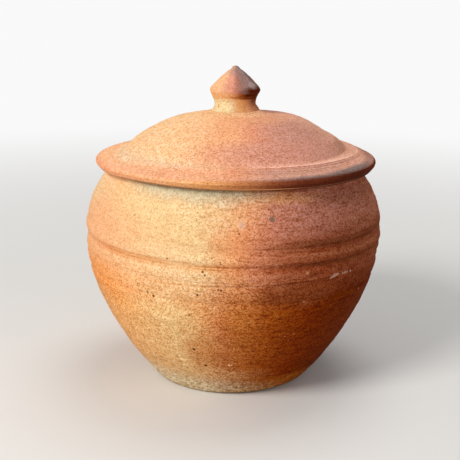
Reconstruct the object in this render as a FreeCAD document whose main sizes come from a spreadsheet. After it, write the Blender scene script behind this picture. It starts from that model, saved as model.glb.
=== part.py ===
# Wheel-thrown stoneware salt jar with a lift-off lid.
# Millimetres, +Z up. The origin is the centre of the foot, on the surface that the jar stands on.

import FreeCAD, Part
import math
import os
import re
import sys

import Sketcher

V = FreeCAD.Vector
UP = V(0, 0, 1)
FULL_TURN = 360.0
NEAR = 0.01                     # how far an edge may lie from the place where it is looked for
LEAST_CHANGE = 100.0            # mm3: a turned feature that changes less has missed the body

# Driving dimensions: name, value, what it measures
SIZES = (
    ("belly_dia", 125.0, "jar: widest diameter"),
    ("belly_height", 65.5, "height of the widest place"),
    ("waist_dia", 107.6, "outer diameter where the lower wall starts to straighten"),
    ("waist_height", 30.0, "height of that place"),
    ("foot_dia", 68.0, "outer diameter of the foot"),
    ("foot_bevel", 0.8, "bevel round the foot's edge"),
    ("foot_ring_width", 6.5, "width of the ring that the jar stands on"),
    ("foot_recess", 1.6, "depth of the trimmed hollow inside the foot ring"),
    ("jar_height", 91.3, "height of the jar's rim, where the lid rests"),
    ("rim_dia", 107.2, "outer diameter of the jar's rim"),
    ("rim_wall", 6.1, "wall thickness at the rim, round the mouth"),
    ("rim_band", 2.2, "height of the upright band at the jar's rim"),
    ("rim_round", 1.6, "radius on the rim's outer edge"),
    ("mouth_depth", 4.0, "height of the mouth's upright wall"),
    ("mouth_round", 1.2, "radius on the mouth's edge"),
    ("belly_wall", 5.0, "wall thickness at the belly"),
    ("waist_wall", 6.5, "wall thickness at the waist, measured level"),
    ("floor_wall", 7.0, "thickness of the floor"),
    ("floor_inset", 24.2, "how far the edge of the flat floor lies inside the wall at the waist"),
    ("floor_round", 9.0, "radius where the floor turns up into the wall"),
    ("soft_ring_rise", 3.9, "height of the broad soft throwing ring above the widest place"),
    ("soft_ring_depth", 0.36, "its depth"),
    ("soft_ring_finger", 9.0, "radius of the finger that pressed it"),
    ("deep_ring_drop", 2.8, "drop of the deepest throwing ring below the widest place"),
    ("deep_ring_depth", 0.7, "its depth"),
    ("deep_ring_finger", 3.2, "radius of the finger tip that pressed it"),
    ("ring_spacing", 6.9, "height from the deepest ring to the second, and from that to the third"),
    ("mid_ring_depth", 0.47, "depth of the second ring"),
    ("mid_ring_finger", 3.4, "radius of the finger tip that pressed it"),
    ("low_ring_depth", 0.33, "depth of the third ring"),
    ("low_ring_finger", 3.6, "radius of the finger tip that pressed it"),
    ("lid_rise", 21.5, "lid: height of the crown above its seat"),
    ("crown_dia", 48.0, "diameter where the crown turns into the dome's side"),
    ("crown_drop", 2.15, "fall from the knob's seat to that place"),
    ("dome_foot", 7.2, "height of the crease at the dome's foot above the seat"),
    ("bead_width", 5.2, "width of the raised bead outside the crease"),
    ("bead_foot", 5.35, "height of the bead's outer foot above the seat"),
    ("bead_swell", 0.73, "rise of the bead's round top over its two feet"),
    ("shoulder_width", 7.0, "width of the lid's shoulder, from the bead out to the edge"),
    ("lid_shoulder", 3.45, "height above the seat where the lid's top meets its edge"),
    ("lid_edge", 2.0, "height of the edge's sharp lower corner above the seat"),
    ("lid_edge_round", 1.35, "radius over the lid's edge"),
    ("lid_overhang", 5.2, "how far the lid's edge stands out past the jar's rim"),
    ("seat_overhang", 3.6, "how far the flat seat under the lid stands out past the jar's rim"),
    ("mouth_gap", 0.9, "clearance all round between the flange and the mouth"),
    ("flange_depth", 9.0, "drop of the flange below the seat"),
    ("flange_wall", 4.6, "thickness of the flange"),
    ("flange_round", 1.4, "radius on the flange's lower edges"),
    ("lid_wall", 5.4, "thickness of the lid under the knob"),
    ("spring_height", 5.0, "height above the seat where the dome's underside starts"),
    ("spring_round", 3.0, "radius where the flange turns into the dome"),
    ("knob_base_dia", 21.6, "knob: diameter of its seat on the crown"),
    ("neck_dia", 17.2, "diameter of the neck"),
    ("neck_rise", 3.5, "height of the neck's narrowest place above the crown"),
    ("collar_rise", 8.5, "height where the neck meets the cone's edge"),
    ("knob_dia", 21.6, "largest diameter of the knob"),
    ("edge_width", 0.6, "how far the cone's edge stands out past the top of the neck"),
    ("edge_height", 1.3, "height of the largest diameter above the top of the neck"),
    ("cone_swell", 0.46, "swell of the cone's side over a straight one"),
    ("tip_dia", 3.6, "diameter where the cone turns into its blunt tip"),
    ("tip_height", 1.0, "height of the blunt tip above that place"),
    ("knob_height", 19.4, "whole height of the knob"),
)

# Heights of the throwing rings, from the top down
RING_HEIGHTS = {
    "soft_ring": "belly_height + soft_ring_rise",
    "deep_ring": "belly_height - deep_ring_drop",
    "mid_ring": "belly_height - deep_ring_drop - ring_spacing",
    "low_ring": "belly_height - deep_ring_drop - 2 * ring_spacing",
}

# Radii that both the jar and the lid are built from
MOUTH = "rim_dia / 2 - rim_wall"
FLANGE = f"{MOUTH} - mouth_gap"
FLANGE_INSIDE = f"{FLANGE} - flange_wall"
LID_EDGE = "rim_dia / 2 + lid_overhang"

doc = FreeCAD.newDocument("salt_jar")
sheet = doc.addObject("Spreadsheet::Sheet", "sizes")
for row, (name, value, note) in enumerate(SIZES, start=1):
    sheet.set(f"A{row}", name)
    sheet.set(f"B{row}", str(value))
    sheet.set(f"C{row}", note)
    sheet.setAlias(f"B{row}", name)
doc.recompute()

SIZE_NAME = re.compile(r"\b(" + "|".join(name for name, _, _ in SIZES) + r")\b")


def from_sheet(text):
    """An expression in plain size names, with each name pointed at the sheet."""
    return SIZE_NAME.sub(r"sizes.\1", text)


def measure(text):
    """The value of an expression in plain size names."""
    return float(sheet.evalExpression(from_sheet(text)))


def place(radius, height):
    """A point of a half section: x is the radius, y the height."""
    return V(measure(radius), measure(height), 0)


def new_body(label):
    body = doc.addObject("PartDesign::Body", label)
    body.Label = label
    return body


class Section:
    """A sketch on a body's own XZ plane: x is the radius, y the height, each tied to an expression."""

    def __init__(self, body, name):
        self.sketch = body.newObject("Sketcher::SketchObject", name)
        plane = next(f for f in body.Origin.OriginFeatures if f.Role == "XZ_Plane")
        self.sketch.AttachmentSupport = [(plane, "")]
        self.sketch.MapMode = "FlatFace"

    def drive(self, kind, text, geometry, *end):
        """Tie one length to an expression. A point at 0 is put on the axis or the base line instead."""
        if text == "0":
            line = -2 if kind == "DistanceX" else -1
            self.sketch.addConstraint(Sketcher.Constraint("PointOnObject", geometry, *end, line))
            return
        index = self.sketch.addConstraint(Sketcher.Constraint(kind, geometry, *end, measure(text)))
        name = "_".join([kind, str(geometry), *map(str, end)])
        self.sketch.renameConstraint(index, name)
        self.sketch.setExpression(f"Constraints.{name}", from_sheet(text))

    def drive_point(self, radius, height, geometry, end):
        self.drive("DistanceX", radius, geometry, end)
        self.drive("DistanceY", height, geometry, end)


class Outline(Section):
    """A closed half section that is drawn from point to point."""

    def start(self, radius, height):
        self.begin = self.spot = (radius, height)
        self.here = place(radius, height)
        self.first = self.last = None

    def add(self, piece, forward, end, smooth=False):
        """Add a piece that ends at the point end. Its own direction may run against the outline's."""
        near, far = (1, 2) if forward else (2, 1)
        geometry = self.sketch.addGeometry(piece, False)
        if self.last is None:
            self.first = (geometry, near)
            self.drive_point(*self.begin, *self.first)
        else:
            kind = "Tangent" if smooth else "Coincident"
            self.sketch.addConstraint(Sketcher.Constraint(kind, *self.last, geometry, near))
        self.last = (geometry, far)
        self.here = end
        return geometry

    def pin(self, radius, height):
        """Tie the end of the last piece to its place."""
        self.drive_point(radius, height, *self.last)
        self.spot = (radius, height)

    def line(self, radius, height):
        end = place(radius, height)
        self.add(Part.LineSegment(self.here, end), True, end)
        self.pin(radius, height)

    def arc(self, centre, end, left, smooth=False):
        """An arc about centre that turns left, which is anticlockwise, or right. Its end isn't tied."""
        rays = [self.here - centre, end - centre]
        low, high = (math.atan2(ray.y, ray.x) for ray in (rays if left else reversed(rays)))
        if high < low:
            high += math.tau
        self.centre = centre
        self.left = left
        circle = Part.Circle(centre, UP, rays[0].Length)
        return self.add(Part.ArcOfCircle(circle, low, high), left, end, smooth)

    def arc_level(self, radius, height, level, left, rings=()):
        """An arc whose centre is at the height level. Rings are pressed into it on the way."""
        x, y = self.spot
        middle = (
            f"((({x})^2 - ({radius})^2 + ({y} - ({level}))^2 - ({height} - ({level}))^2)"
            f" / (2 * ({x} - ({radius}))))"
        )
        bend = f"sqrt(({radius} - {middle})^2 + ({height} - ({level}))^2)"
        centre = place(middle, level)
        pieces = []
        for ring in rings:
            pieces.append(self.ring_pressed(ring, centre, middle, level, bend, left))
        pieces.append(self.arc(centre, place(radius, height), left))
        self.drive("DistanceY", level, pieces[0], 3)
        for piece in pieces[1:]:
            self.sketch.addConstraint(Sketcher.Constraint("Coincident", pieces[0], 3, piece, 3))
            self.sketch.addConstraint(Sketcher.Constraint("Equal", pieces[0], piece))
        self.pin(radius, height)

    def ring_pressed(self, ring, centre, middle, level, bend, left):
        """Follow an arc to a ring, and through it: a shallow arc by a fingertip held square to the wall."""
        depth, finger = f"{ring}_depth", f"{ring}_finger"
        rise = f"({RING_HEIGHTS[ring]} - ({level}))"
        reach = f"(1 + ({finger} - {depth}) / {bend})"
        tip = (f"{middle} + {reach} * sqrt({bend}^2 - {rise}^2)", f"{level} + {reach} * {rise}")

        outward = place(*tip) - centre
        apart = outward.Length
        outward.normalize()
        aside = V(-outward.y, outward.x, 0) * (-1 if left else 1)
        lips_out = (measure(bend) ** 2 - measure(finger) ** 2 + apart ** 2) / (2 * apart)
        lips_half = math.sqrt(measure(bend) ** 2 - lips_out ** 2)
        wall = self.arc(centre, centre + outward * lips_out + aside * lips_half, left)
        dip = self.arc(place(*tip), centre + outward * lips_out - aside * lips_half, not left)
        self.drive_point(*tip, dip, 3)
        self.drive("Radius", finger, dip)
        return wall

    def arc_domed(self, radius, height, left):
        """An arc whose centre is on the axis."""
        a, b = self.here, place(radius, height)
        z = (a.x ** 2 - b.x ** 2 + a.y ** 2 - b.y ** 2) / (2 * (a.y - b.y))
        geometry = self.arc(V(0, z, 0), b, left)
        self.drive("DistanceX", "0", geometry, 3)
        self.pin(radius, height)

    def arc_smooth(self, radius, height):
        """An arc that carries straight on from the arc before it, and turns the way that its end lies."""
        end = place(radius, height)
        chord = end - self.here
        inward = (self.centre - self.here).normalize()
        turns_on = inward.dot(chord) > 0
        centre = self.here + inward * (chord.Length ** 2 / (2 * inward.dot(chord)))
        self.arc(centre, end, self.left == turns_on, smooth=True)
        self.pin(radius, height)

    def arcs_to_floor(self, radius, height, corner):
        """An arc that carries straight on, then a smooth one of radius corner that ends level."""
        end, bend = place(radius, height), measure(corner)
        corner_centre = end + V(0, bend, 0)
        inward = (self.centre - self.here).normalize()
        offset = self.here - corner_centre
        reach = (bend ** 2 - offset.Length ** 2) / (2 * (inward.dot(offset) + bend))
        centre = self.here + inward * reach
        meeting = corner_centre + (corner_centre - centre).normalize() * math.copysign(bend, reach)
        self.arc(centre, meeting, self.left == (reach > 0), smooth=True)
        geometry = self.arc(corner_centre, end, False, smooth=True)
        self.drive("Radius", corner, geometry)
        self.drive("DistanceX", radius, geometry, 3)
        self.pin(radius, height)

    def arc_swelled(self, radius, height, swell, left):
        """An arc whose middle stands off the straight line between its ends by the length swell."""
        x, y = self.spot
        chord_squared = f"(({radius} - ({x}))^2 + ({height} - ({y}))^2)"
        bend = f"({chord_squared} / (8 * {swell}) + {swell} / 2)"
        end = place(radius, height)
        chord = end - self.here
        aside = V(-chord.y, chord.x, 0).normalize() * (1 if left else -1)
        centre = (self.here + end) * 0.5 + aside * (measure(bend) - measure(swell))
        geometry = self.arc(centre, end, left)
        self.drive("Radius", bend, geometry)
        self.pin(radius, height)

    def close(self):
        """Straight back to the first point."""
        geometry = self.sketch.addGeometry(Part.LineSegment(self.here, place(*self.begin)), False)
        self.sketch.addConstraint(Sketcher.Constraint("Coincident", *self.last, geometry, 1))
        self.sketch.addConstraint(Sketcher.Constraint("Coincident", geometry, 2, *self.first))
        doc.recompute()


def turned(body, section, kind):
    """Turn a section about the axis: a Revolution adds, a Groove cuts."""
    before = body.Shape.Volume if body.Tip else 0.0
    feature = body.newObject(f"PartDesign::{kind}", f"{section.sketch.Name}_turned")
    feature.Profile = section.sketch
    feature.ReferenceAxis = (section.sketch, ["V_Axis"])
    feature.Angle = FULL_TURN
    doc.recompute()
    change = body.Shape.Volume - before
    if (change if kind == "Revolution" else -change) < LEAST_CHANGE:
        sys.exit(f"{feature.Name} changed the volume by {change:.3f} mm3")


def rounded(body, name, radius, *spots):
    """Round the circular edges at the given places, each a radius and a height."""
    base = body.Tip
    points = [place(*spot) for spot in spots]
    edges = []
    for number, edge in enumerate(base.Shape.Edges, start=1):
        if not edge.Degenerated and isinstance(edge.Curve, Part.Circle):
            middle, reach = edge.Curve.Center.z, edge.Curve.Radius
            if any(abs(reach - p.x) < NEAR and abs(middle - p.y) < NEAR for p in points):
                edges.append(f"Edge{number}")
    if len(edges) != len(spots):
        sys.exit(f"{name}: found {len(edges)} of {len(spots)} edges")
    fillet = body.newObject("PartDesign::Fillet", name)
    fillet.Base = (base, edges)
    fillet.setExpression("Radius", from_sheet(radius))
    doc.recompute()


def jar_body():
    """The thrown pot: outside with its throwing rings, hollow, trimmed foot and rounded rim."""
    body = new_body("jar_body")

    outside = Outline(body, "jar_outside")
    outside.start("0", "jar_height")
    outside.line("rim_dia / 2", "jar_height")
    outside.line("rim_dia / 2", "jar_height - rim_band")
    outside.arc_level("belly_dia / 2", "belly_height", "belly_height", left=False, rings=["soft_ring"])
    outside.arc_level("waist_dia / 2", "waist_height", "belly_height", left=False,
                      rings=["deep_ring", "mid_ring", "low_ring"])
    outside.arc_smooth("foot_dia / 2", "foot_bevel")
    outside.line("foot_dia / 2 - foot_bevel", "0")
    outside.line("0", "0")
    outside.close()
    turned(body, outside, "Revolution")

    waist = "waist_dia / 2 - waist_wall"
    hollow = Outline(body, "jar_hollow")
    hollow.start("0", "jar_height")
    hollow.line(MOUTH, "jar_height")
    hollow.line(MOUTH, "jar_height - mouth_depth")
    hollow.arc_level("belly_dia / 2 - belly_wall", "belly_height", "belly_height", left=False)
    hollow.arc_level(waist, "waist_height", "belly_height", left=False)
    hollow.arcs_to_floor(f"{waist} - floor_inset", "floor_wall", "floor_round")
    hollow.line("0", "floor_wall")
    hollow.close()
    turned(body, hollow, "Groove")

    trimmed = Outline(body, "foot_hollow")
    trimmed.start("0", "0")
    trimmed.line("foot_dia / 2 - foot_ring_width", "0")
    trimmed.line("foot_dia / 2 - foot_ring_width - foot_recess", "foot_recess")
    trimmed.line("0", "foot_recess")
    trimmed.close()
    turned(body, trimmed, "Groove")

    rounded(body, "rim_rounding", "min(rim_round; 0.8 * rim_band; 0.45 * rim_wall)",
            ("rim_dia / 2", "jar_height"))
    rounded(body, "mouth_rounding", "min(mouth_round; 0.8 * mouth_depth; 0.45 * rim_wall)",
            (MOUTH, "jar_height"))
    return body


def lid():
    """The thrown lid: crown, dome, bead, rim, seat and the flange that drops into the mouth."""
    body = new_body("lid")
    bead = f"{LID_EDGE} - shoulder_width"

    section = Outline(body, "lid_section")
    section.start("0", "jar_height + lid_rise")
    section.line("knob_base_dia / 2", "jar_height + lid_rise")
    section.arc_domed("crown_dia / 2", "jar_height + lid_rise - crown_drop", left=False)
    section.arc_smooth(f"{bead} - bead_width", "jar_height + dome_foot")
    section.arc_swelled(bead, "jar_height + bead_foot", "bead_swell", left=False)
    section.line(LID_EDGE, "jar_height + lid_shoulder")
    section.line(LID_EDGE, "jar_height + lid_edge")
    section.line("rim_dia / 2 + seat_overhang", "jar_height")
    section.line(FLANGE, "jar_height")
    section.line(FLANGE, "jar_height - flange_depth")
    section.line(FLANGE_INSIDE, "jar_height - flange_depth")
    section.line(FLANGE_INSIDE, "jar_height + spring_height")
    section.arc_domed("0", "jar_height + lid_rise - lid_wall", left=True)
    section.close()
    turned(body, section, "Revolution")

    rounded(body, "lid_edge_rounding", "min(lid_edge_round; 0.95 * (lid_shoulder - lid_edge))",
            (LID_EDGE, "jar_height + lid_shoulder"))
    rounded(body, "flange_rounding", "min(flange_round; 0.4 * flange_wall)",
            (FLANGE, "jar_height - flange_depth"), (FLANGE_INSIDE, "jar_height - flange_depth"))
    rounded(body, "spring_rounding", "spring_round", (FLANGE_INSIDE, "jar_height + spring_height"))
    return body


def lid_knob():
    """The pointed knob: flared base, neck, cone with a crisp edge, blunt tip."""
    body = new_body("lid_knob")
    crown = "jar_height + lid_rise"
    widest = f"{crown} + collar_rise + edge_height"

    section = Outline(body, "knob_section")
    section.start("0", crown)
    section.line("knob_base_dia / 2", crown)
    section.arc_level("neck_dia / 2", f"{crown} + neck_rise", f"{crown} + neck_rise", left=False)
    section.arc_level("knob_dia / 2 - edge_width", f"{crown} + collar_rise", f"{crown} + neck_rise",
                      left=False)
    section.arc_level("knob_dia / 2", widest, widest, left=True)
    section.arc_swelled("tip_dia / 2", f"{crown} + knob_height - tip_height", "cone_swell", left=True)
    section.arc_domed("0", f"{crown} + knob_height", left=True)
    section.close()
    turned(body, section, "Revolution")
    return body


parts = [jar_body(), lid(), lid_knob()]

failed = [f"{item.Label}: {item.State}" for item in doc.Objects if {"Invalid", "Error"} & set(item.State)]
failed += [part.Label for part in parts if part.Shape.isNull() or not part.Shape.isValid()]
failed += [part.Label for part in parts if len(part.Shape.Solids) != 1]
if failed:
    sys.exit("failed: " + ", ".join(failed))

os.makedirs("parts", exist_ok=True)
for part in parts:
    part.Shape.exportStep(f"parts/{part.Label}.step")
    box = part.Shape.optimalBoundingBox(False, False)
    print(f"{part.Label}: {part.Shape.Volume:.0f} mm3, {box.XLength:.2f} across, {box.ZLength:.2f} high")
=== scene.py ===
"""Salt jar in wood-fired stoneware, with a lid that lifts off: its finish, camera and light.

Lengths are in metres, except in the tables that say mm. A turn is in degrees round the jar from its front,
positive to the right. A side is 0 at the far left of the jar and 1 at its far right.
"""
import math

import bmesh
import bpy
import numpy as np
from mathutils import Matrix, Vector


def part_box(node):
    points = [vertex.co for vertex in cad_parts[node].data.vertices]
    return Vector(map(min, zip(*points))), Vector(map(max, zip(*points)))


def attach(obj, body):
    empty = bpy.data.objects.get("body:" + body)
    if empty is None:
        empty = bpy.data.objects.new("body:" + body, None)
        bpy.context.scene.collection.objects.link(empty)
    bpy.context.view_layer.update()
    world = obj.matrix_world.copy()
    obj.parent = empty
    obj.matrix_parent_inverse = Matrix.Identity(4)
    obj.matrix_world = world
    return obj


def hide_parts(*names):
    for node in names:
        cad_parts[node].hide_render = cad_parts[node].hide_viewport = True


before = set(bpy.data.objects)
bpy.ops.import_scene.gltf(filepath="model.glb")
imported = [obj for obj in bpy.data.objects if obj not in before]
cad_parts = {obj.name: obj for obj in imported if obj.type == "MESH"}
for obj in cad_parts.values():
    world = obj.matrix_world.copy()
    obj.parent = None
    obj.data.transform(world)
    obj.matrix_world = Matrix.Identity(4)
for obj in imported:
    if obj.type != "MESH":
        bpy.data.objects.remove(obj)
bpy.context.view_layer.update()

MM = 0.001

# Camera: where it stands, how far it looks down, how far it leans, and its lens
CAMERA_PLACE = Vector((-1.3, -390.0, 165.2)) * MM
CAMERA_TILT = 14.87
CAMERA_LEAN = 0.85
CAMERA_LENS = 72.82
SENSOR = 36.0

# How the mesh of a turned piece is divided: steps along its outline, and columns round it
FINE_STEP = 0.5 * MM
COARSE_STEP = 2.2 * MM
KNOB_STEP = 0.22 * MM
JAR_COLUMNS = 328
LID_COLUMNS = 360
KNOB_COLUMNS = 256

# Corners: from what turn in degrees, how far they are worn round, and how many points take up that wear
SHARP_CORNER = 26.0
EDGE_WEAR = 0.22 * MM
KNOB_WEAR = 0.15 * MM
WIDEST_WEAR = 0.75 * MM
WEAR_POINTS = 5

# How near a point counts as on the cut through a piece, and as on its axis
ON_CUT = 2e-6
ON_AXIS = 1e-5

# Sizes of the solids that shapes and marks are placed by
JAR_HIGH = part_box("jar_body")[1]
KNOB_LOW, KNOB_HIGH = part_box("lid_knob")
BELLY_RADIUS = JAR_HIGH.x


def half_section(node):
    """The outline of a turned node in points of radius and height, from its higher end on the axis."""
    cut = bmesh.new()
    cut.from_mesh(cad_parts[node].data)
    everything = cut.verts[:] + cut.edges[:] + cut.faces[:]
    bmesh.ops.bisect_plane(cut, geom=everything, dist=ON_CUT / 2, plane_co=(0, 0, 0), plane_no=(0, 1, 0))
    beside = {}
    for edge in cut.edges:
        ends = [v.co for v in edge.verts]
        if all(abs(p.y) < ON_CUT and p.x > -ON_CUT / 2 for p in ends):
            a, b = ((round(p.x, 6), round(p.z, 6)) for p in ends)
            if a != b:
                beside.setdefault(a, set()).add(b)
                beside.setdefault(b, set()).add(a)
    cut.free()
    ends = [p for p, near in beside.items() if len(near) == 1]
    spot = max(ends, key=lambda p: p[1])
    walked = [spot]
    while True:
        onward = [p for p in beside[spot] if p not in walked[-2:]]
        if not onward:
            break
        spot = onward[0]
        walked.append(spot)
    line = np.array(walked)
    start, end = (0.0, line[0, 1]), (0.0, line[-1, 1])
    if line[0, 0] > ON_AXIS:
        line = np.vstack([start, line])
    if line[-1, 0] > ON_AXIS:
        line = np.vstack([line, end])
    return line


def through(points, step):
    """A smooth curve through the points, sampled about every step."""
    if len(points) < 3:
        length = np.hypot(*(points[-1] - points[0]))
        share = np.linspace(0, 1, max(2, int(length / step)))[:, None]
        return points[0] * (1 - share) + points[-1] * share
    padded = np.vstack([2 * points[0] - points[1], points, 2 * points[-1] - points[-2]])
    made = []
    for i in range(1, len(padded) - 2):
        a, b, c, d = padded[i - 1:i + 3]
        knots = np.cumsum([0] + [max(np.hypot(*q), 1e-9) ** 0.5 for q in (b - a, c - b, d - c)])
        count = max(1, int(np.hypot(*(c - b)) / step))
        t = np.linspace(knots[1], knots[2], count, endpoint=False)[:, None]

        def blend(p, q, low, high):
            return ((high - t) * p + (t - low) * q) / (high - low)

        ab, bc, cd = blend(a, b, *knots[:2]), blend(b, c, *knots[1:3]), blend(c, d, *knots[2:4])
        abc, bcd = blend(ab, bc, knots[0], knots[2]), blend(bc, cd, knots[1], knots[3])
        made.append(blend(abc, bcd, knots[1], knots[2]))
    made.append(padded[-2][None])
    return np.vstack(made)


def worn(line, step, wear):
    """The evenly spaced line with its corners worn round."""
    half = int(3 * wear / step)
    reach = np.arange(-half, half + 1)
    weight = np.exp(-0.5 * (reach * step / wear) ** 2)
    weight /= weight.sum()
    soft = np.column_stack([np.convolve(line[:, k], weight, "same") for k in (0, 1)])
    edge = len(reach)
    soft[:edge], soft[-edge:] = line[:edge], line[-edge:]
    return soft


def fine_outline(node, wear=EDGE_WEAR):
    """The node's outline as close points, smooth along its arcs, its corners worn by firing and use."""
    line = half_section(node)
    way = np.degrees(np.arctan2(*np.diff(line, axis=0).T[::-1]))
    turn = np.abs((np.diff(way) + 180) % 360 - 180)
    corners = [0, *(np.nonzero(turn > SHARP_CORNER)[0] + 1), len(line) - 1]
    step = wear / WEAR_POINTS
    pieces = [through(line[a:b + 1], step) for a, b in zip(corners, corners[1:])]
    dense = np.vstack([pieces[0], *[p[1:] for p in pieces[1:]]])
    gone = np.r_[0, np.cumsum(np.hypot(*np.diff(dense, axis=0).T))]
    even = np.arange(0, gone[-1], step)
    dense = np.column_stack([np.interp(even, gone, dense[:, k]) for k in (0, 1)])
    return worn(dense, step, wear)


def spaced(line, steps):
    """The line with its points spread out to the steps wanted at each of them."""
    gone = np.r_[0, np.cumsum(np.hypot(*np.diff(line, axis=0).T))]
    wanted = np.r_[0, np.cumsum(np.diff(gone) / steps[:-1])]
    count = int(wanted[-1]) + 1
    at = np.interp(np.linspace(0, wanted[-1], count), wanted, gone)
    return np.column_stack([np.interp(at, gone, line[:, k]) for k in (0, 1)])


def turned_mesh(name, line, columns, shape):
    """A closed mesh of the line turned round the axis.

    shape gives the place of its points from their turn, radius and height and the way the line goes there.
    """
    turn = np.linspace(-math.pi, math.pi, columns, endpoint=False)
    way = np.gradient(line, axis=0)
    way /= np.maximum(np.hypot(*way.T), 1e-12)[:, None]
    inner = line[1:-1]
    phi, radius = np.meshgrid(turn, inner[:, 0])
    height = np.repeat(inner[:, 1:], columns, axis=1)
    along = np.repeat(way[1:-1, :1], columns, axis=1), np.repeat(way[1:-1, 1:], columns, axis=1)
    x, y, z = shape(phi, radius, height, along)
    rings = np.stack([x, y, z], axis=-1).reshape(-1, 3)
    poles = [(0, 0, line[0, 1]), (0, 0, line[-1, 1])]
    spots = np.vstack([poles[:1], rings, poles[1:]])
    row = np.arange(columns)
    onward = (row + 1) % columns
    first = 1 + np.arange(len(inner) - 1)[:, None] * columns
    quads = np.stack([first + row, first + onward, first + columns + onward, first + columns + row], -1)
    last = 1 + (len(inner) - 1) * columns
    faces = quads.reshape(-1, 4).tolist()
    faces += [(0, 1 + b, 1 + a) for a, b in zip(row.tolist(), onward.tolist())]
    faces += [(len(spots) - 1, last + a, last + b) for a, b in zip(row.tolist(), onward.tolist())]
    mesh = bpy.data.meshes.new(name)
    mesh.from_pydata(spots.tolist(), [], faces)
    tidy = bmesh.new()
    tidy.from_mesh(mesh)
    bmesh.ops.recalc_face_normals(tidy, faces=tidy.faces)
    tidy.to_mesh(mesh)
    tidy.free()
    mesh.shade_smooth()
    piece = bpy.data.objects.new(name, mesh)
    bpy.context.scene.collection.objects.link(piece)
    return piece


def mark_inside(piece, share, columns):
    """Keeps, for the finish, how far each ring of the piece lies on its inside."""
    values = np.r_[share[0], np.repeat(share[1:-1], columns), share[-1]]
    layer = piece.data.attributes.new("inside", "FLOAT", "POINT")
    layer.data.foreach_set("value", values.astype(np.float32))


class RingNoise:
    """Uneven marks round a turned piece: long round it and short across it."""

    ROWS = 512

    def __init__(self, seed, across, round_degrees):
        self.across = across
        self.columns = round(360 / round_degrees)
        self.values = np.random.default_rng(seed).uniform(-1, 1, (self.ROWS, self.columns))

    def __call__(self, phi, along):
        row = along / self.across + self.ROWS / 4
        column = (phi / (2 * math.pi) + 0.5) * self.columns
        r0, c0 = np.floor(row).astype(int), np.floor(column).astype(int)
        fr, fc = row - r0, column - c0
        fr, fc = fr * fr * (3 - 2 * fr), fc * fc * (3 - 2 * fc)

        def at(r, c):
            return self.values[r % self.ROWS, c % self.columns]

        upper = at(r0, c0) * (1 - fc) + at(r0, c0 + 1) * fc
        lower = at(r0 + 1, c0) * (1 - fc) + at(r0 + 1, c0 + 1) * fc
        return upper * (1 - fr) + lower * fr


def bump(value, middle, width):
    """A smooth bump of height 1 at the middle."""
    return np.exp(-0.5 * ((value - middle) / width) ** 2)


def rise(value, low, high):
    """A smooth step from 0 at low to 1 at high."""
    t = np.clip((value - low) / (high - low), 0, 1)
    return t * t * (3 - 2 * t)


def angle_from(phi, degrees):
    """The turn away from that many degrees, in radians, within half a turn."""
    return (phi - math.radians(degrees) + math.pi) % (2 * math.pi) - math.pi


def placed(phi, radius, height):
    """Points from turn, radius and height. The front faces -Y."""
    return radius * np.sin(phi), -radius * np.cos(phi), height


# The jar's wall: depth of its streaks, ridges, hollows and groove, and how far its lower part is off leftward
STREAK_DEPTH = 0.055 * MM
RIDGE_DEPTH = 0.09 * MM
HOLLOW_DEPTH = 0.1 * MM
GROOVE_DEPTH = 0.06 * MM
LOWER_SHIFT = 0.45 * MM

# The throwing rings: how far they lean down to the right, their middle, and the groove in the upper one
RING_LEAN = 1.2 * MM
RING_MIDDLE = 60 * MM
RING_LINE = 63.6 * MM

# How far inside the mouth the mesh is fine, and the foot ring: its height, its radii and its wear
MOUTH_INSIDE = 6 * MM
FOOT_RISE = 1.7 * MM
FOOT_INSIDE = 26.5 * MM
FOOT_MIDDLE = 28 * MM
FOOT_OUTSIDE = 34 * MM
FOOT_WEAR = 1.6 * MM
FOOT_WEAR_TURN = 35

# Swells of the wall by the turn they face, in mm: height, width and how far they stand out
JAR_SAG = {
    -90: (
        (83, 6, -0.6), (73, 3, -0.2), (60.2, 1.8, -0.6), (56, 7.5, 0.95), (43, 6, 0.5), (33, 7, 0.25),
        (18, 8, 0.2),
    ),
    90: (
        (84, 9, 0.75), (71.4, 2.4, 0.4), (63, 1.9, 0.9), (59.1, 1.1, -0.5), (54, 2.4, 0.22), (36, 8, -0.25),
        (18, 8, 0.4), (7, 4, 0.35),
    ),
}


def sagged(phi, height):
    """How far the thrown wall stands out beyond the even form, on its left and on its right."""
    total = 0.0
    for turn, swells in JAR_SAG.items():
        facing = np.clip(np.cos(angle_from(phi, turn)), 0, 1) ** 2
        for middle, width, out in swells:
            total = total + facing * (out * MM) * bump(height, middle * MM, width * MM)
    return total


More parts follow.
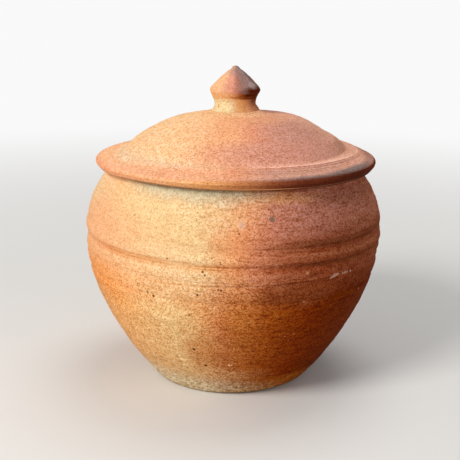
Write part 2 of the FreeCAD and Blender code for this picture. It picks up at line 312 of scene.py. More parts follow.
def make_jar():
    """The pot, and the radius of its outside for a height."""
    line = fine_outline("jar_body")
    top = int(np.argmax(line[:, 1]))
    steps = np.full(len(line), COARSE_STEP)
    steps[top - int(MOUTH_INSIDE / (EDGE_WEAR / WEAR_POINTS)):] = FINE_STEP
    under = (np.arange(len(line)) > top) & (line[:, 1] < FOOT_RISE) & (line[:, 0] < FOOT_INSIDE)
    steps[under] = COARSE_STEP
    line = spaced(line, steps)
    streaks = RingNoise(11, 0.9 * MM, 24)
    ridges = RingNoise(12, 2.6 * MM, 60)
    swells = RingNoise(13, 11 * MM, 90)

    def shape(phi, radius, height, along):
        outward, upward = -along[1], along[0]
        outside = rise(outward, -0.2, 0.2)
        wall = rise(height, 2 * MM, 8 * MM) * rise(JAR_HIGH.z - height, 1 * MM, 5 * MM)
        lean = -RING_LEAN * np.sin(phi)
        depth = STREAK_DEPTH * streaks(phi, height) + RIDGE_DEPTH * ridges(phi, height)
        depth = (depth + HOLLOW_DEPTH * (swells(phi, height) - 1)) * wall
        groove = bump(height, RING_LINE + lean, 0.5 * MM)
        depth -= GROOVE_DEPTH * groove * outside * (1 + 0.6 * ridges(phi, height * 0.3))
        r = radius + depth * outward + sagged(phi, height) * outside
        rounding = FOOT_WEAR * (0.4 + bump(angle_from(phi, FOOT_WEAR_TURN), 0, 0.6))
        under = np.clip(1 - height / rounding, 0, 1)
        worn_off = rounding * (1 - np.sqrt(1 - under**2)) / (FOOT_OUTSIDE - FOOT_MIDDLE)
        r -= worn_off * np.maximum(radius - FOOT_MIDDLE, 0)
        z = height + depth * upward + lean * bump(height, RING_MIDDLE, 16 * MM) * outside
        x, y, z = placed(phi, r, z)
        low = rise(45 * MM - height, 0, 30 * MM) * outside
        return x - LOWER_SHIFT * low, y, np.maximum(z, 0)

    pot = turned_mesh("jar_pot", line, JAR_COLUMNS, shape)
    top = int(np.argmax(line[:, 1]))
    hidden = rise(top - np.arange(len(line)), 0, 6)
    mark_inside(pot, hidden, JAR_COLUMNS)
    outer = line[top:][::-1]
    return pot, lambda height: (np.interp(height, outer[:, 1], outer[:, 0]), height)


# The lid: its seat, how far its rim is off to the right, how its edge rises in front and droops on the left
LID_SEAT = 91.3 * MM
RIM_SHIFT = 0.6 * MM
LIP_RISE = 0.9 * MM
LEFT_DROOP = 0.5 * MM

# The clay that joins the knob to the dome: where the knob's foot ends, and how high the clay stands there
KNOB_FOOT = 10.4 * MM
KNOB_FILLET = 0.9 * MM

# The raised bead at the foot of the dome, and how far it drifts outward on the right
BEAD_RING = 48.1 * MM
BEAD_DRIFT = ((2.1 * MM, 1), (1.5 * MM, 8))

# Fine grooves beyond the bead, in mm: how far beyond it, and how deep
LID_GROOVES = ((1.5, 0.14), (2.4, 0.10), (3.3, 0.12), (4.3, 0.08))

# Swells of the dome and the rim by where they are, in mm: radius, width and how far they stand out
LID_SWELLS = {
    "right": ((27, 6, 1.15),),
    "far right": ((43, 2.6, 0.8), (51.5, 4, 0.9), (53.4, 1.5, 0.35)),
    "left": ((46.5, 3.5, -0.8), (36, 5, -0.6)),
    "far left": ((50, 2.2, -0.85),),
}


def make_lid():
    """The lid, and the height of its top for a distance from the axis."""
    line = fine_outline("lid")
    low = int(np.argmin(line[:, 1]))
    steps = np.full(len(line), FINE_STEP * 0.78)
    steps[low:] = COARSE_STEP * 0.6
    line = spaced(line, steps)
    streaks = RingNoise(21, 0.8 * MM, 30)
    ridges = RingNoise(22, 2.4 * MM, 50)

    def shape(phi, radius, height, along):
        outward, upward = -along[1], along[0]
        top = rise(upward, -0.1, 0.3) * rise(radius, 11.5 * MM, 15 * MM) * (height > LID_SEAT)
        depth = (0.05 * MM * streaks(phi, radius - height) + 0.06 * MM * ridges(phi, radius - height)) * top
        rightward, leftward = np.clip(np.sin(phi), 0, 1), np.clip(-np.sin(phi), 0, 1)
        facing = {
            "right": (np.cos(angle_from(phi, 95)) * 0.5 + 0.5) ** 2,
            "far right": rightward**5,
            "left": (np.cos(angle_from(phi, -90)) * 0.5 + 0.5) ** 2,
            "far left": leftward**5,
        }
        for where, swells in LID_SWELLS.items():
            for middle, width, out in swells:
                depth += top * facing[where] * (out * MM) * bump(radius, middle * MM, width * MM)
        bead = BEAD_RING + sum(far * rightward**power for far, power in BEAD_DRIFT)
        onward = rise(np.sin(phi), -0.1, 0.6)
        depth += top * (0.08 + 0.25 * onward) * MM * bump(radius, bead, 0.5 * MM)
        depth -= top * (0.05 + 0.3 * onward) * MM * bump(radius, bead - 2.2 * MM, 1.2 * MM)
        for beyond, deep in LID_GROOVES:
            groove = bump(radius, bead + beyond * MM, 0.24 * MM)
            depth -= top * (deep * MM) * (0.4 + 0.6 * onward) * groove
        x, y, z = placed(phi, radius + depth * outward, height + depth * upward)
        rim = rise(radius, 47 * MM, 53 * MM) * (height > LID_SEAT - 0.1 * MM)
        lip = rise(94.4 * MM - height, 0, 2 * MM) * rise(radius, 54.6 * MM, 56.6 * MM)
        front = rise(np.cos(angle_from(phi, -12)), 0.55, 0.95)
        z = z + LIP_RISE * front * lip
        z = z - LEFT_DROOP * leftward**6 * rise(radius, 45 * MM, 56 * MM)
        fillet = np.exp(-np.maximum(radius - KNOB_FOOT, 0) / (1.2 * MM)) * (height > LID_SEAT + 18 * MM)
        z = z + KNOB_FILLET * (1 + 0.5 * facing["right"]) * fillet
        return x + RIM_SHIFT * rim, y, z

    dome = turned_mesh("lid_dome", line, LID_COLUMNS, shape)
    seat = np.nonzero((line[:, 1] < LID_SEAT + 0.3 * MM) & (line[:, 0] > 50 * MM))[0][0]
    hidden = rise(np.arange(len(line)) - seat, 0, 4)
    mark_inside(dome, hidden, LID_COLUMNS)
    outer = line[line[:, 1] > 94.5 * MM]
    return dome, lambda reach: (reach, np.interp(reach, outer[:, 0], outer[:, 1]))


# The knob: the height where it is widest
KNOB_WIDEST = 122 * MM


def make_knob():
    """The knob, and the radius of its outside for a height."""
    line = fine_outline("lid_knob", KNOB_WEAR)
    share = bump(line[:, 1], KNOB_WIDEST, 1.8 * MM)[:, None]
    line = line * (1 - share) + worn(line, KNOB_WEAR / WEAR_POINTS, WIDEST_WEAR) * share
    line = spaced(line, np.full(len(line), KNOB_STEP))
    streaks = RingNoise(31, 0.6 * MM, 40)

    def shape(phi, radius, height, along):
        outward, upward = -along[1], along[0]
        side = rise(height, KNOB_LOW.z + 0.3 * MM, KNOB_LOW.z + 1.5 * MM)
        side *= rise(KNOB_HIGH.z - height, 0.3 * MM, 1.5 * MM)
        depth = 0.05 * MM * (streaks(phi, height) - 1) * side
        left, right = np.clip(-np.sin(phi), 0, 1), np.clip(np.sin(phi), 0, 1)
        flare = 0.4 * MM * np.exp(-(height - KNOB_LOW.z) / (1.6 * MM))
        flare += 1.0 * MM * right**2 * bump(height, 114.7 * MM, 1.0 * MM)
        flare += 0.35 * MM * left * bump(height, 119.7 * MM, 1.1 * MM)
        flare -= 0.2 * MM * left * rise(height, 123 * MM, 126 * MM)
        return placed(phi, radius + depth * outward + flare * side, height + depth * upward)

    knob = turned_mesh("knob", line, KNOB_COLUMNS, shape)
    outer = line[::-1] if line[0, 1] > line[-1, 1] else line
    outer = outer[outer[:, 0] > 3 * MM]
    return knob, lambda height: (np.interp(height, outer[:, 1], outer[:, 0]), height)


# Colours of the fired clay as they look on a screen under plain light
COLOURS = {
    # the jar's shoulder, rings and belly
    "far_peach": "e8b582", "ash_pink": "f4b482", "ash_peach": "f3bd84", "ash_cream": "f1c88e",
    "apricot": "f3b680", "terracotta": "ee9b69", "brick": "d0856b", "mauve": "b5715a",
    "mauve_grey": "ab684f", "mauve_pale": "ab664a", "ring_apricot": "eaa46c", "ring_orange": "ea965e",
    "ring_clay": "d4835c", "ring_rust": "b16340", "ring_brown": "964726", "ring_mauve": "904a2c",
    "far_orange": "dd9c66", "ochre": "f8a65c", "ochre_pale": "efbf80", "ochre_deep": "e49b5c",
    "low_orange": "d27c44", "burnt": "ca7534", "rust": "aa5014", "rust_deep": "903502",
    "rust_dark": "6e2700", "rust_far": "6e2b08",
    # the jar's patches, one of them partly painted reflected light under the lid
    "band_cream": "facd98", "flank": "fc9e56", "low_cream": "f2c286", "ash_top": "f6d098",
    "shoulder_tan": "de9e6a", "rust_tan": "c07030", "rust_soft": "8c4420", "cream_ochre": "f4c486",
    "foot_sand": "e2b078", "edge_light": "fad6a4", "foot_tan": "b4641a", "foot_pale": "e8cfa6",
    "foot_rim": "bb8440", "shoulder_grey": "cfc6a4",
    # the jar's painted shade and highlight for its rings, its grains and marks
    "hollow_shade": "6e3416", "ridge_highlight": "b06844", "frost": "f4ecd8", "iron": "4a1a0c", "pit": "54290e",
    "grey": "6f6058", "faint_ash": "dcb8a4", "pale_grain": "fce8c0", "tan_grain": "c88a5c",
    # the lid's dome, rim and edge
    "lid_cream": "f6c490", "lid_peach": "fac08c", "lid_orange": "f0aa7a", "lid_coral": "e19471",
    "lid_pink": "d3917a", "lid_mauve": "cb907a", "lid_far": "e0a488", "rim_peach": "fcbe8c",
    "rim_salmon": "f2ae82", "rim_coral": "e69c74", "rim_rose": "d19982", "rim_far": "e4a68c",
    "edge_salmon": "f2a478", "edge_pale": "feba86", "edge_ochre": "eba667", "edge_coral": "ca8350",
    "rim_brown": "8e4a2c", "rim_dark": "6a2e1a", "rim_black": "50200e",
    # the lid's patches, bead, lip and its painted gap shadow, and marks
    "crease_shade": "b98068", "crease_pale": "eecba4", "edge_pink": "ee9c7c", "charcoal": "867068",
    "rim_end": "a06c58", "bead_pale": "f6bea2", "lip_dark_and_gap_shadow": "4c1e0e", "lip_pale": "b88462",
    "white_ash": "e8dcd0",
    # the knob's cone and its underside
    "knob_peach": "f2b888", "knob_salmon": "df987c", "knob_rose": "c4806a", "knob_mauve": "a87060",
    "knob_grey": "98746a", "knob_violet": "9a827e", "knob_edge": "765444", "knob_far": "9c7a68",
    "edge_orange": "eeb478", "edge_sand": "e6ae76", "edge_tan": "ce8a52", "edge_brown": "9e5a26",
    "edge_black": "561f04", "neck_dark": "b0704a",
    # the knob's neck, foot, patches and marks, and a painted highlight on its cone
    "neck_cream": "eed4a0", "neck_sand": "e8ca9c", "neck_tan": "e6b078", "neck_orange": "dfa066",
    "neck_brown": "d89564", "neck_light": "fbe2b0", "knob_sheen": "ab928c",
    # bare clay, where no flame or ash came
    "bare": "d89a68",
}


# The clay: how much it shines, and its grain's size and height
CLAY_GLOSS = 0.03
GRAIN = 0.48 * MM
GRAIN_HEIGHT = 0.03 * MM

# Tints that multiply the paint
DARK_GRAIN_AND_SHADE = (0.62, 0.48, 0.34, 1)
PALE_GRAIN = (1.10, 1.34, 1.66, 1)
PALE_LINE = (1.3, 1.45, 1.55, 1)
SOFT_LINE = (0.88, 0.68, 0.52, 1)
GREY_SHADE = (0.66, 0.64, 0.6, 1)
FOOT_PATCH = (1.15, 1.25, 1.3, 1)
UNDER_SHADE = (0.6, 0.54, 0.44, 1)
SPECK = (0.36, 0.20, 0.12, 1)


def colour(name):
    """A named colour in linear light."""
    parts = [int(COLOURS[name][k:k + 2], 16) / 255 for k in (0, 2, 4)]
    return (*[c / 12.92 if c <= 0.04045 else ((c + 0.055) / 1.055) ** 2.4 for c in parts], 1)


class Nodes:
    """Adds nodes to a tree. Most methods return the socket that comes out of what they add."""

    def __init__(self, tree):
        self.nodes = tree.nodes
        self.links = tree.links

    def feed(self, socket, value):
        """Sets the socket to the value, or links it to the socket that the value is."""
        if isinstance(value, bpy.types.NodeSocket):
            self.links.new(value, socket)
        else:
            socket.default_value = value

    def make(self, kind, out, inputs, **settings):
        """Adds a node of that kind and returns the output named."""
        node = self.nodes.new("ShaderNode" + kind)
        for key, value in settings.items():
            setattr(node, key, value)
        for key, value in inputs.items():
            self.feed(node.inputs[key], value)
        return node.outputs[out]

    def math(self, operation, a, b=0.0):
        return self.make("Math", 0, {0: a, 1: b}, operation=operation)

    def times(self, a, b):
        return self.math("MULTIPLY", a, b)

    def vector(self, operation, a, b=(0, 0, 0)):
        out = "Value" if operation in ("LENGTH", "DISTANCE") else "Vector"
        return self.make("VectorMath", out, {0: a, 1: b}, operation=operation)

    def step(self, value, low, high, least=0.0, most=1.0, how="SMOOTHSTEP"):
        """A step from least at low to most at high, smooth or straight."""
        inputs = {"Value": value, "From Min": low, "From Max": high, "To Min": least, "To Max": most}
        return self.make("MapRange", "Result", inputs, interpolation_type=how)

    def mix(self, share, a, b, how="MIX"):
        inputs = {0: share, 6: a, 7: b}
        return self.make("Mix", 2, inputs, data_type="RGBA", blend_type=how)

    def noise(self, place, size, detail, rough, out=0):
        inputs = {"Vector": place, "Scale": 1 / size, "Detail": detail, "Roughness": rough}
        return self.make("TexNoise", out, inputs)

    def seen_directly(self):
        """1 for what the camera sees, also in a reflection or through glass, and 0 for light."""
        rays = self.nodes.new("ShaderNodeLightPath").outputs
        seen = rays["Is Camera Ray"]
        for kind in ("Is Glossy Ray", "Is Transmission Ray"):
            seen = self.math("MAXIMUM", seen, rays[kind])
        return seen


class Finish(Nodes):
    """The material of one piece, painted by place on the piece."""

    def __init__(self, name):
        self.material = bpy.data.materials.new(name)
        self.material.use_nodes = True
        super().__init__(self.material.node_tree)
        self.shader = self.nodes["Principled BSDF"]
        self.place = self.make("TexCoord", "Object", {})
        flat = self.vector("MULTIPLY", self.place, (1, 1, 0))
        self.round = self.vector("NORMALIZE", flat)
        self.radius = self.vector("LENGTH", flat)
        self.height = self.make("SeparateXYZ", "Z", {0: self.place})
        self.sideways = self.make("SeparateXYZ", "X", {0: self.round})

    def wheel(self, along, warp, streak):
        """Sets the coordinates of the firing's marks, pushed about by noise, and returns the side there."""
        middle = (0.5, 0.5, 0.5)
        raised = self.make("CombineXYZ", 0, {2: self.math("DIVIDE", along, BELLY_RADIUS)})
        steady = self.vector("ADD", self.round, raised)
        cloud = self.vector("SUBTRACT", self.noise(self.place, 17 * MM, 4.0, 0.6, out=1), middle)
        ringed = self.drawn(along, 14 * MM, 1.6 * MM, 2.0, 0.6, out=1)
        ringed = self.vector("SUBTRACT", ringed, middle)
        steady = self.vector("ADD", steady, self.vector("MULTIPLY", cloud, (warp,) * 3))
        ringed = self.vector("MULTIPLY", ringed, (streak, streak, streak * 0.3))
        self.wheel_place = self.vector("ADD", steady, ringed)
        across = self.make("SeparateXYZ", "X", {0: self.wheel_place})
        self.side = self.make("Math", 0, {0: across, 1: 0.5, 2: 0.5}, operation="MULTIPLY_ADD")
        return self.side

    def drawn(self, along, across_size, along_size, detail, rough, out=0):
        """Noise drawn out round the pot, as a turned surface's marks are."""
        share = BELLY_RADIUS / across_size
        flat = self.vector("MULTIPLY", self.round, (share, share, 0))
        raised = self.make("CombineXYZ", 0, {2: self.math("DIVIDE", along, along_size)})
        return self.noise(self.vector("ADD", flat, raised), 1.0, detail, rough, out)

    def zone(self, turn, along, wide, tall, soft, strength):
        """How much a point lies in the patch round that turn in degrees and that place along in mm."""
        phi = math.radians(turn)
        middle = (math.sin(phi), -math.cos(phi), along * MM / BELLY_RADIUS)
        chord = 2 * math.sin(math.radians(min(wide, 170)) / 2)
        scale = (1 / chord, 1 / chord, BELLY_RADIUS / (tall * MM))
        away = self.vector("MULTIPLY", self.vector("SUBTRACT", self.wheel_place, middle), scale)
        return self.step(self.vector("LENGTH", away), 1 + soft, 1 - soft, 0.0, strength)

    def patched(self, paint, patches):
        """The paint with patches laid over it in turn, each the name of its colour and its zone."""
        for name, *where in patches:
            paint = self.lay(paint, self.zone(*where), name)
        return paint

    def ramp(self, value, stops):
        """Named colours along a value from 0 to 1."""
        painted = self.make("ValToRGB", 0, {0: value})
        marks = painted.node.color_ramp.elements
        while len(marks) < len(stops):
            marks.new(0.5)
        for mark, (place, name) in zip(marks, stops):
            mark.position = place
            mark.color = colour(name)
        return painted

    def line(self, value, middle, half):
        """A thin line where the value passes the middle."""
        away = self.math("ABSOLUTE", self.math("SUBTRACT", value, middle))
        return self.step(away, half, 0.0)

    def ring_line(self, value, middle, half, first, last, broken):
        """A thin line round the piece where the value passes the middle, from the first side to the last."""
        thin = self.times(self.line(value, middle, half), broken)
        begun = self.step(self.side, first - 0.03, first + 0.05)
        within = self.times(begun, self.step(self.side, last + 0.05, last - 0.05))
        return self.times(thin, within)

    def cells(self, size):
        """Random cells of that size: how far their middle is, and three random numbers for each."""
        away = self.make("TexVoronoi", "Distance", {"Vector": self.place, "Scale": 1 / size})
        first = self.make("SeparateColor", 0, {0: away.node.outputs["Color"]})
        return away, *first.node.outputs

    def specks(self, size, share, least, most):
        """Round grains, of radii from least to most, in a share of the cells of that size."""
        away, chance, bulk, depth = self.cells(size)
        chosen = self.step(chance, 1 - share - 0.02, 1 - share)
        reach = self.step(bulk, 0.0, 1.0, least / size, most / size)
        inner = self.times(reach, 0.4)
        spot = self.step(away, reach, inner, how="LINEAR")
        return self.times(self.times(spot, chosen), self.step(depth, -0.6, 1.0))

    def marks(self, spots, wall):
        """Single round marks on the piece, each a turn, a place along its wall and a radius in mm."""
        total = 0.0
        for degrees, along, reach in spots:
            point = placed(math.radians(degrees), *map(float, wall(along * MM)))
            reach *= MM
            one = self.step(self.vector("DISTANCE", self.place, point), reach * 1.15, reach * 0.4)
            total = self.math("MAXIMUM", one, total)
        return total

    def marked(self, paint, marks, wall):
        """The paint with its single marks, by the name of their colour."""
        for name, (strength, spots) in marks.items():
            paint = self.lay(paint, self.times(self.marks(spots, wall), strength), name)
        return paint

    def bare_inside(self, paint):
        """The paint with bare clay where the piece isn't seen from outside."""
        inside = self.make("Attribute", "Fac", {}, attribute_name="inside")
        return self.lay(paint, inside, "bare")

    def lay(self, paint, amount, name):
        """The paint with a named colour over it, by that amount."""
        return self.mix(amount, paint, colour(name))

    def shade(self, paint, amount, tint):
        """The paint multiplied by a tint, by that amount."""
        return self.mix(amount, paint, self.mix(1.0, paint, tint, "MULTIPLY"))

    def grain(self, paint, contrast, sparkle=1.0):
        """The paint with the clay's sandy grain, and the grain's height. sparkle is for the pale grains."""
        bright = self.cells(GRAIN)[1]
        fine = self.noise(self.place, 1.5 * GRAIN, 2.0, 0.6)
        both = self.math("ADD", self.times(bright, 0.8), self.times(fine, 0.2))
        down = self.step(both, 0.5, 0.0, how="LINEAR")
        up = self.step(both, 0.5, 1.0, how="LINEAR")
        paint = self.shade(paint, self.times(down, contrast), DARK_GRAIN_AND_SHADE)
        paint = self.shade(paint, self.times(up, contrast), PALE_GRAIN)
        squeezed = self.vector("MULTIPLY", self.place, (1, 1, 1.4))
        clouds = self.noise(squeezed, 6 * GRAIN, 3.0, 0.65)
        soft = self.times(contrast, 0.32)
        paint = self.shade(paint, self.times(self.step(clouds, 0.48, 0.25), soft), DARK_GRAIN_AND_SHADE)
        paint = self.shade(paint, self.times(self.step(clouds, 0.52, 0.75), soft), PALE_GRAIN)
        dark = self.specks(2.1 * GRAIN, 0.5, 0.14 * MM, 0.3 * MM)
        pale = self.specks(2.3 * GRAIN, 0.6, 0.14 * MM, 0.34 * MM)
        paint = self.shade(paint, self.times(dark, self.times(contrast, 0.8)), DARK_GRAIN_AND_SHADE)
        pale = self.times(pale, self.times(contrast, sparkle))
        return self.shade(paint, pale, PALE_GRAIN), both

    def end(self, paint, rough, relief):
        """The material, with its paint, its roughness and the height of its grain."""
        self.feed(self.shader.inputs["Base Color"], paint)
        self.feed(self.shader.inputs["Roughness"], rough)
        self.shader.inputs["Specular IOR Level"].default_value = CLAY_GLOSS
        height = {"Height": relief, "Distance": GRAIN_HEIGHT, "Strength": 0.6}
        self.feed(self.shader.inputs["Normal"], self.make("Bump", "Normal", height))
        return self.material


# Marks on the jar's front: how strong they are, then the turn, height and radius of each in mm
JAR_MARKS = {
    "pit": (1.0, (
        (-16.5, 26.3, 0.8), (-12.5, 17.8, 0.8), (-32.4, 50.1, 0.6), (-30, 49, 0.65), (-12.4, 52.2, 0.6),
        (-4, 54.6, 0.5), (-5, 54.7, 0.45), (-10.4, 61.6, 0.55), (-9.6, 60.4, 0.5), (-23.2, 65.5, 0.45),
        (-7.2, 67.2, 0.4), (-16, 43, 0.5), (-37.6, 54.8, 0.35), (-36.4, 52.9, 0.35), (2, 76.3, 0.4),
        (-4.4, 65.8, 0.35), (-4.2, 65, 0.35), (-29.2, 63.1, 0.35), (17.5, 41.5, 0.4), (18.2, 41.4, 0.4),
    )),
    "grey": (0.8, ((14, 81.1, 1.3),)),
    "faint_ash": (0.5, (
        (2.6, 80, 1.1), (3.6, 79, 1.1), (2.4, 79.1, 0.9), (37.8, 56.4, 0.8), (38.6, 56.7, 0.9),
        (39.4, 56.9, 1.0), (40.4, 57.1, 0.8), (41.2, 57.1, 0.5), (43.6, 57, 0.6), (44.8, 57, 0.7),
        (46, 57, 0.6), (48, 56.9, 0.7),
    )),
    "pale_grain": (1.0, ((-1, 18.5, 0.5), (0.2, 18.6, 0.4))),
    "tan_grain": (0.8, (
        (26.8, 60.1, 0.8), (58, 46.5, 0.5), (27, 48, 0.5), (26, 33, 0.5), (22, 32.6, 0.5),
        (24.5, 30, 0.45),
    )),
}

# Patches of the jar, in mm and degrees: colour, turn, height, half width, half height, softness, strength
JAR_PATCHES = (
    ("band_cream", -27, 58, 22, 11, 0.8, 0.9),
    ("ochre_deep", -13, 47, 9, 4, 0.7, 0.5),
    ("flank", -62, 51, 36, 8, 0.8, 0.6),
    ("low_cream", -42, 22, 30, 16, 0.8, 0.5),
    ("ash_top", -32, 86, 30, 9, 0.8, 0.8),
    # tan on the shoulder under the lid's right, partly painted reflected light where the lid shades it
    ("shoulder_tan", 14, 88.4, 18, 1.8, 0.8, 0.9),
    ("low_orange", 1, 53, 10, 7, 0.7, 0.45),
    ("ash_pink", -64, 68, 22, 10, 0.8, 0.8),
    ("rust_dark", 50, 30, 26, 22, 0.8, 0.6),
    ("rust_tan", -12, 23, 8, 9, 0.7, 0.5),
    ("rust", 5, 24, 11, 13, 0.8, 0.4),
    ("rust_soft", 25, 52, 15, 5, 0.5, 0.8),
    ("cream_ochre", -26, 43, 12, 10, 0.7, 0.35),
    ("foot_sand", -38, 12, 40, 5, 0.6, 0.7),
    ("edge_light", -88, 86, 24, 8, 0.8, 0.7),
    ("foot_tan", 22, 4, 46, 5.5, 0.5, 0.8),
    ("foot_pale", -40, 1, 52, 8, 0.6, 0.9),
    ("foot_rim", 26, 1.6, 30, 1.6, 0.6, 0.6),
    ("shoulder_grey", -19, 91, 27, 5, 0.6, 0.9),
)

# Lines on the jar's rings, partly their own colour and partly painted shade in the grooves and painted
# highlight on the ridges: height, climb to the right, half width (mm), first and last side, strength, tint
JAR_LINES = (
    (66.9, 0.0, 1.8, 0.36, 0.56, 0.35, PALE_LINE),
    (63.1, 0.0, 2.7, 0.0, 0.34, 0.8, SOFT_LINE),
    (62.8, 0.0, 2.9, 0.34, 0.76, 1.0, SOFT_LINE),
    (64.2, 0.0, 0.8, 0.0, 0.40, 0.6, SOFT_LINE),
    (62.9, 0.0, 0.7, 0.02, 0.34, 0.6, SOFT_LINE),
    (61.6, 0.0, 0.7, 0.05, 0.30, 0.6, SOFT_LINE),
    (57.2, 0.0, 0.5, 0.05, 0.34, 0.5, SOFT_LINE),
    (63.5, 2.0, 0.55, 0.38, 0.80, 0.8, DARK_GRAIN_AND_SHADE),
    (62.8, 0.0, 0.35, 0.38, 0.52, 0.8, PALE_LINE),
    (62.3, 0.0, 0.35, 0.38, 0.56, 0.5, DARK_GRAIN_AND_SHADE),
    (67.9, -1.0, 0.35, 0.55, 0.78, 0.8, PALE_LINE),
    (70.7, 0.0, 0.45, 0.55, 1.0, 0.8, DARK_GRAIN_AND_SHADE),
    (72.6, 0.0, 0.4, 0.60, 1.0, 0.6, DARK_GRAIN_AND_SHADE),
    (56.9, 4.5, 0.4, 0.30, 0.80, 1.0, PALE_LINE),
    (56.1, 4.5, 0.5, 0.30, 0.80, 0.8, DARK_GRAIN_AND_SHADE),
    (55.4, 2.5, 0.6, 0.03, 0.40, 0.5, SOFT_LINE),
    (48.7, 0.0, 0.4, 0.30, 0.75, 0.5, DARK_GRAIN_AND_SHADE),
)


def jar_finish(wall):
    """The jar: ash-flashed cream and ochre on the left, rust and mauve on the right, a pale foot."""
    f = Finish("jar clay")
    level = f.math("ADD", f.height, f.times(f.sideways, RING_LEAN))
    side = f.wheel(level, 0.10, 0.07)
    shoulder = f.ramp(side, (
        (0.0, "far_peach"), (0.07, "ash_pink"), (0.2, "ash_peach"), (0.37, "ash_cream"),
        (0.46, "apricot"), (0.54, "terracotta"), (0.63, "brick"), (0.76, "mauve"), (0.9, "mauve_grey"),
        (1.0, "mauve_pale"),
    ))
    rings = f.ramp(side, (
        (0.0, "far_peach"), (0.07, "ash_pink"), (0.2, "ash_peach"), (0.4, "ash_cream"),
        (0.455, "ring_apricot"), (0.5, "ring_orange"), (0.56, "ring_clay"), (0.65, "ring_rust"),
        (0.765, "ring_brown"), (1.0, "ring_mauve"),
    ))
    belly = f.ramp(side, (
        (0.0, "far_orange"), (0.1, "ochre"), (0.3, "ochre_pale"), (0.4, "ochre_deep"),
        (0.46, "low_orange"), (0.52, "burnt"), (0.62, "rust"), (0.75, "rust_deep"), (0.88, "rust_dark"),
        (1.0, "rust_far"),
    ))
    paint = f.mix(f.step(level, 82 * MM, 68 * MM), shoulder, rings)
    paint = f.mix(f.step(level, 60 * MM, 48 * MM), paint, belly)
    paint = f.patched(paint, JAR_PATCHES)
    paint = f.shade(paint, f.zone(-10, 42.5, 34, 3, 0.8, 0.3), PALE_LINE)
    # shade under the lid, grey on the left and brown on the right
    near_lid = f.math("ADD", f.height, f.step(side, 0.6, 0.8, 0.0, 0.45 * MM))
    under_lid = f.times(f.step(near_lid, 89.6 * MM, 90.4 * MM), f.step(side, 0.05, 0.35, 0.3, 1.0))
    paint = f.shade(paint, f.times(under_lid, f.step(side, 0.75, 0.6, 0.0, 0.7)), GREY_SHADE)
    brown_side = f.times(f.step(side, 0.5, 0.7, 0.0, 0.6), f.step(side, 0.95, 0.75, 0.2, 1.0))
    paint = f.shade(paint, f.times(under_lid, brown_side), UNDER_SHADE)
    # a patchy foot, dark where it stands
    patchy = f.step(f.noise(f.place, 2.0 * MM, 3.0, 0.6), 0.4, 0.62, -0.6, 0.75)
    patchy = f.times(patchy, f.step(f.height, 10 * MM, 6 * MM))
    paint = f.shade(paint, f.math("MAXIMUM", patchy, 0.0), FOOT_PATCH)
    paint = f.shade(paint, f.times(f.math("MAXIMUM", f.times(patchy, -1.0), 0.0), 0.8), DARK_GRAIN_AND_SHADE)
    paint = f.shade(paint, f.step(f.height, 2.2 * MM, 0.4 * MM, 0.0, 0.5), DARK_GRAIN_AND_SHADE)
    # painted shade in the hollows between the rings and a painted highlight on the ridge between them, on the
    # right, and streaks from the wheel
    right = f.step(side, 0.56, 0.78)
    for middle, half, name, strength in (
        (71.3 * MM, 2.8 * MM, "hollow_shade", 0.7),
        (67.0 * MM, 2.0 * MM, "ridge_highlight", 0.5),
        (63.9 * MM, 2.2 * MM, "hollow_shade", 0.8),
    ):
        band = f.times(f.line(level, middle, half), right)
        paint = f.lay(paint, f.times(band, strength), name)
    streaks = f.drawn(level, 7 * MM, 0.7 * MM, 3.0, 0.6)
    streaky = f.step(side, 0.35, 0.65, 0.3, 1.2)
    paint = f.shade(paint, f.times(f.step(streaks, 0.52, 0.75), streaky), DARK_GRAIN_AND_SHADE)
    broad = f.drawn(level, 9 * MM, 1.5 * MM, 2.0, 0.5)
    faint = f.times(streaky, 0.55)
    paint = f.shade(paint, f.times(f.step(broad, 0.5, 0.25), faint), PALE_GRAIN)
    paint = f.shade(paint, f.times(f.step(broad, 0.5, 0.75), faint), DARK_GRAIN_AND_SHADE)
    broken = f.step(f.drawn(level, 16 * MM, 3 * MM, 2.0, 0.6), 0.3, 0.6, 0.3, 1.0)
    # the rings' lines: partly their own colour, partly painted shade in the grooves and painted highlight on
    # the ridges
    for middle, climb, half, first, last, strength, tint in JAR_LINES:
        climbing = f.times(f.math("SUBTRACT", side, 0.5), climb * MM)
        height = f.math("SUBTRACT", level, climbing)
        thin = f.ring_line(height, middle * MM, half * MM, first, last, broken)
        paint = f.shade(paint, f.times(thin, strength), tint)
    # the grain, stronger below and on the right, with frost under the lid and specks of iron
    pink = f.zone(-66, 78, 34, 26, 0.6, 0.7)
    above, below = f.step(side, 0.3, 0.75, 0.65, 1.38), f.step(side, 0.3, 0.6, 1.2, 2.4)
    contrast = f.make("Mix", 0, {0: f.step(level, 68 * MM, 46 * MM), 2: above, 3: below})
    contrast = f.math("SUBTRACT", contrast, f.times(pink, 0.1))
    paint, fine = f.grain(paint, contrast, f.step(level, 74 * MM, 40 * MM, 0.9, 1.6))
    frost = f.specks(0.9 * MM, 0.7, 0.2 * MM, 0.36 * MM)
    paint = f.lay(paint, f.times(frost, f.zone(-16, 88.5, 26, 3.5, 0.5, 0.7)), "frost")
    dots = f.specks(1.3 * MM, 0.6, 0.18 * MM, 0.36 * MM)
    paint = f.shade(paint, f.times(dots, f.step(side, 0.1, 0.55, 0.4, 1.0)), SPECK)
    pits = f.specks(3.2 * MM, 0.45, 0.24 * MM, 0.44 * MM)
    paint = f.lay(paint, f.times(pits, f.step(side, 0.2, 0.6, 0.3, 0.85)), "iron")
    paint = f.marked(paint, JAR_MARKS, wall)
    return f.end(f.bare_inside(paint), 0.85, fine)


